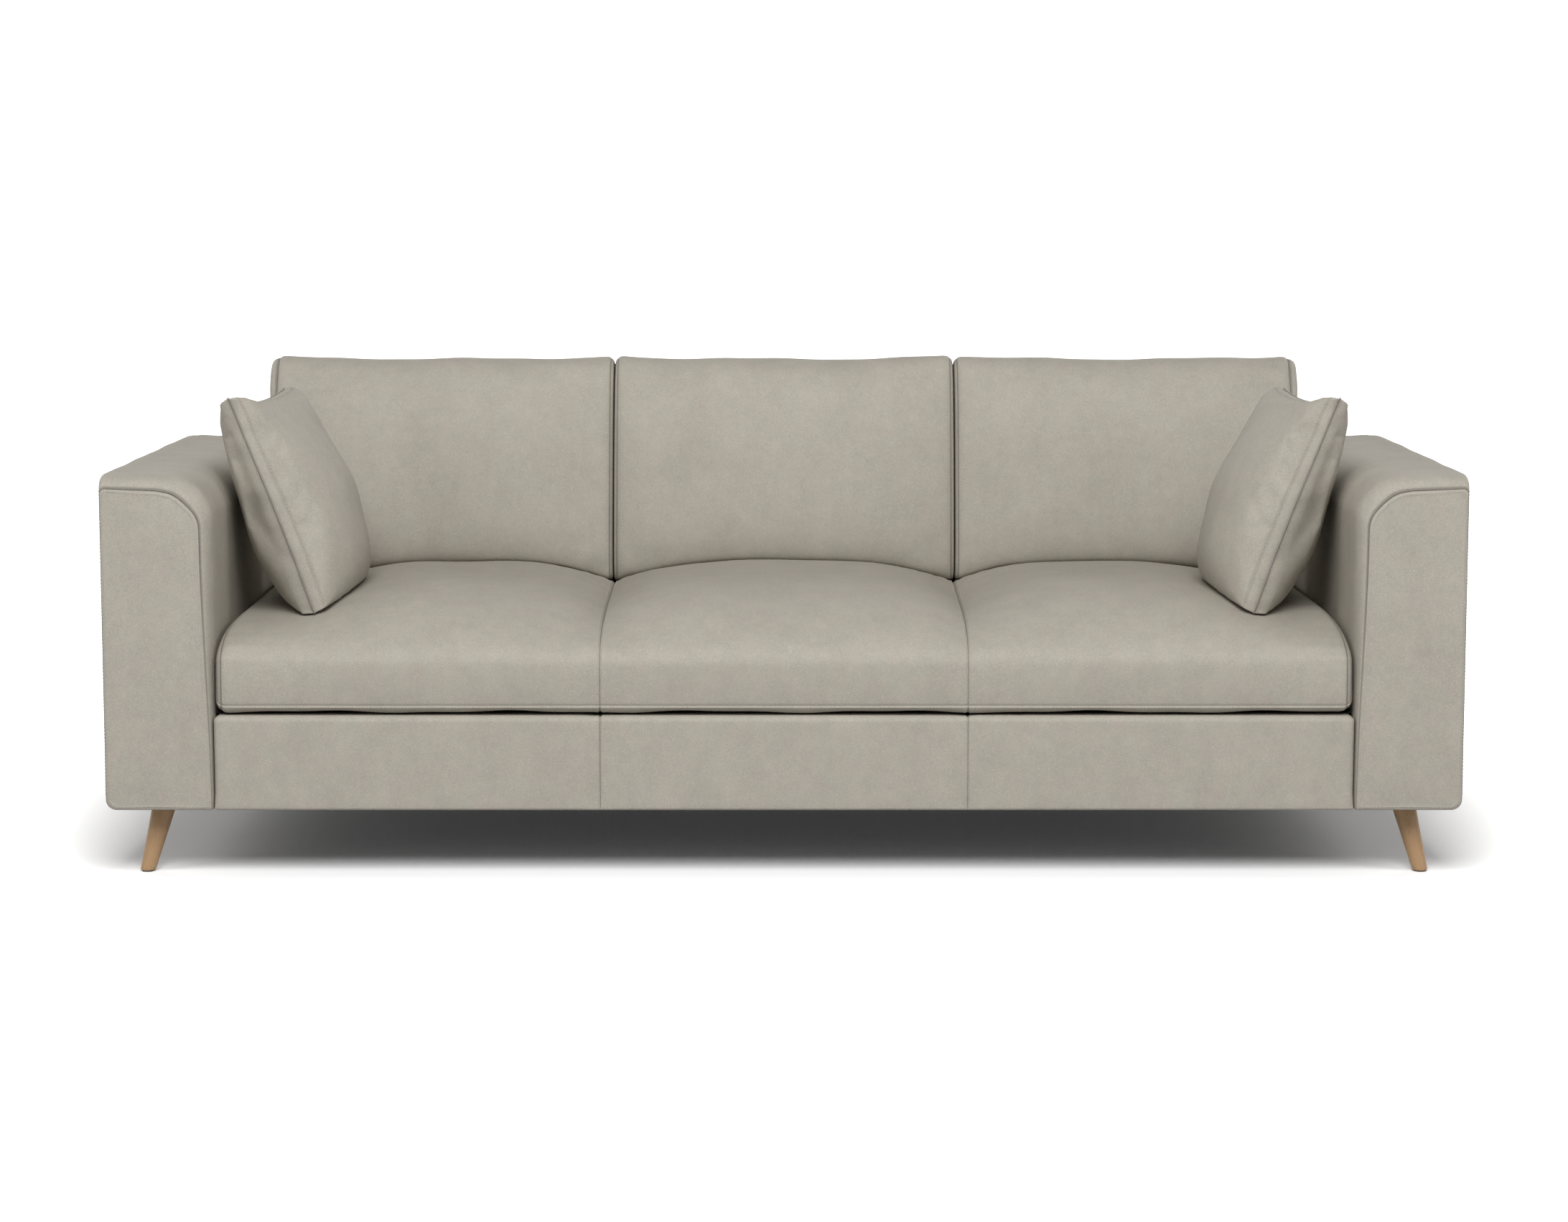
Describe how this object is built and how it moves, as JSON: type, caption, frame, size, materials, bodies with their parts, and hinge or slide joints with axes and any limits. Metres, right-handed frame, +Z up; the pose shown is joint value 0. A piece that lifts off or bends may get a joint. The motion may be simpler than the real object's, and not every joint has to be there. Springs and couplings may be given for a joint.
{
  "type": "sofa with wooden legs",
  "caption": "Wide leather sofa with a sewn bench seat cushion, loose back cushions, leaning scatter cushions, padded track arms and short splayed wooden legs.",
  "frame": {"origin": "on the floor, under the middle of the sofa's bounding box", "axes": "+X to the right as seen from the front, +Y towards the back, so the sofa faces -Y, +Z up"},
  "size_m": [2.4, 1.08, 0.872],
  "materials": {
    "leather": "pebbled full-grain leather in warm grey, satin sheen",
    "leg_wood": "oiled light oak, fine straight grain",
    "frame_timber": "sawn hardwood and plywood, unfinished",
    "foam": "open-cell upholstery foam, cut faces",
    "wadding": "white polyester wadding",
    "feather_filling": "feather and fibre filling in a cotton case",
    "webbing": "black elastic webbing",
    "deck_cloth": "black woven deck cloth",
    "dust_cloth": "black non-woven dust cover",
    "zip": "woven zip tape with moulded teeth",
    "steel": "zinc-plated and drawn steel",
    "glide_felt": "pressed felt glide"
  },
  "bodies": {
    "frame": {"front_rail": "frame_timber", "back_rail": "frame_timber", "end_rails": "frame_timber", "cross_rails": "frame_timber", "arm_front_boards": "frame_timber", "arm_back_boards": "frame_timber", "arm_top_boards": "frame_timber", "arm_base_rails": "frame_timber", "arm_bolting_rails": "frame_timber", "arm_bolts": "steel", "leg_blocks": "frame_timber", "back_uprights": "frame_timber", "back_top_rail": "frame_timber", "back_lower_rails": "frame_timber", "back_webbing": "webbing", "seat_springs_left": "steel", "seat_springs_centre": "steel", "seat_springs_right": "steel", "spring_clips": "steel", "spring_stay_wires": "steel", "deck_cloth": "deck_cloth", "dust_cover": "dust_cloth", "front_border_pad": "foam", "front_border_cover": "leather", "back_pad": "foam", "back_cover": "leather", "outside_back_pad": "wadding", "outside_back_cover": "leather", "leg_plates": "steel", "leg_plate_screws": "steel", "hanger_bolts": "steel", "foot_glides": "glide_felt", "arm_front_pad_left": "foam", "arm_front_pad_right": "foam", "arm_outer_pad_left": "wadding", "arm_outer_pad_right": "wadding", "arm_pad_left": "foam", "arm_pad_right": "foam", "arm_cover_left": "leather", "arm_cover_right": "leather", "leg_front_left": "leg_wood", "leg_front_right": "leg_wood", "leg_back_left": "leg_wood", "leg_back_right": "leg_wood"},
    "seat_cushion": {"seat_cushion_core": "foam", "seat_cushion_cover": "leather", "seat_cushion_zip": "zip"},
    "back_cushion_left": {"back_cushion_core_left": "foam", "back_cushion_cover_left": "leather", "back_cushion_zip_left": "zip"},
    "back_cushion_centre": {"back_cushion_core_centre": "foam", "back_cushion_cover_centre": "leather", "back_cushion_zip_centre": "zip"},
    "back_cushion_right": {"back_cushion_core_right": "foam", "back_cushion_cover_right": "leather", "back_cushion_zip_right": "zip"},
    "scatter_cushion_left": {"scatter_filling_left": "feather_filling", "scatter_cover_left": "leather"},
    "scatter_cushion_right": {"scatter_filling_right": "feather_filling", "scatter_cover_right": "leather"}
  },
  "joints": [
    {"name": "seat_cushion_lift", "type": "slide", "parent": "frame", "child": "seat_cushion", "axis": [0, 0, 1], "range_m": [0, 0.25]},
    {"name": "back_cushion_left_lift", "type": "slide", "parent": "seat_cushion", "child": "back_cushion_left", "axis": [0, 0.2079, 0.9781], "range_m": [0, 0.35]},
    {"name": "back_cushion_centre_lift", "type": "slide", "parent": "seat_cushion", "child": "back_cushion_centre", "axis": [0, 0.2079, 0.9781], "range_m": [0, 0.35]},
    {"name": "back_cushion_right_lift", "type": "slide", "parent": "seat_cushion", "child": "back_cushion_right", "axis": [0, 0.2079, 0.9781], "range_m": [0, 0.35]},
    {"name": "scatter_cushion_left_lift", "type": "slide", "parent": "seat_cushion", "child": "scatter_cushion_left", "axis": [0, 0, 1], "range_m": [0, 0.3]},
    {"name": "scatter_cushion_right_lift", "type": "slide", "parent": "seat_cushion", "child": "scatter_cushion_right", "axis": [0, 0, 1], "range_m": [0, 0.3]}
  ]
}
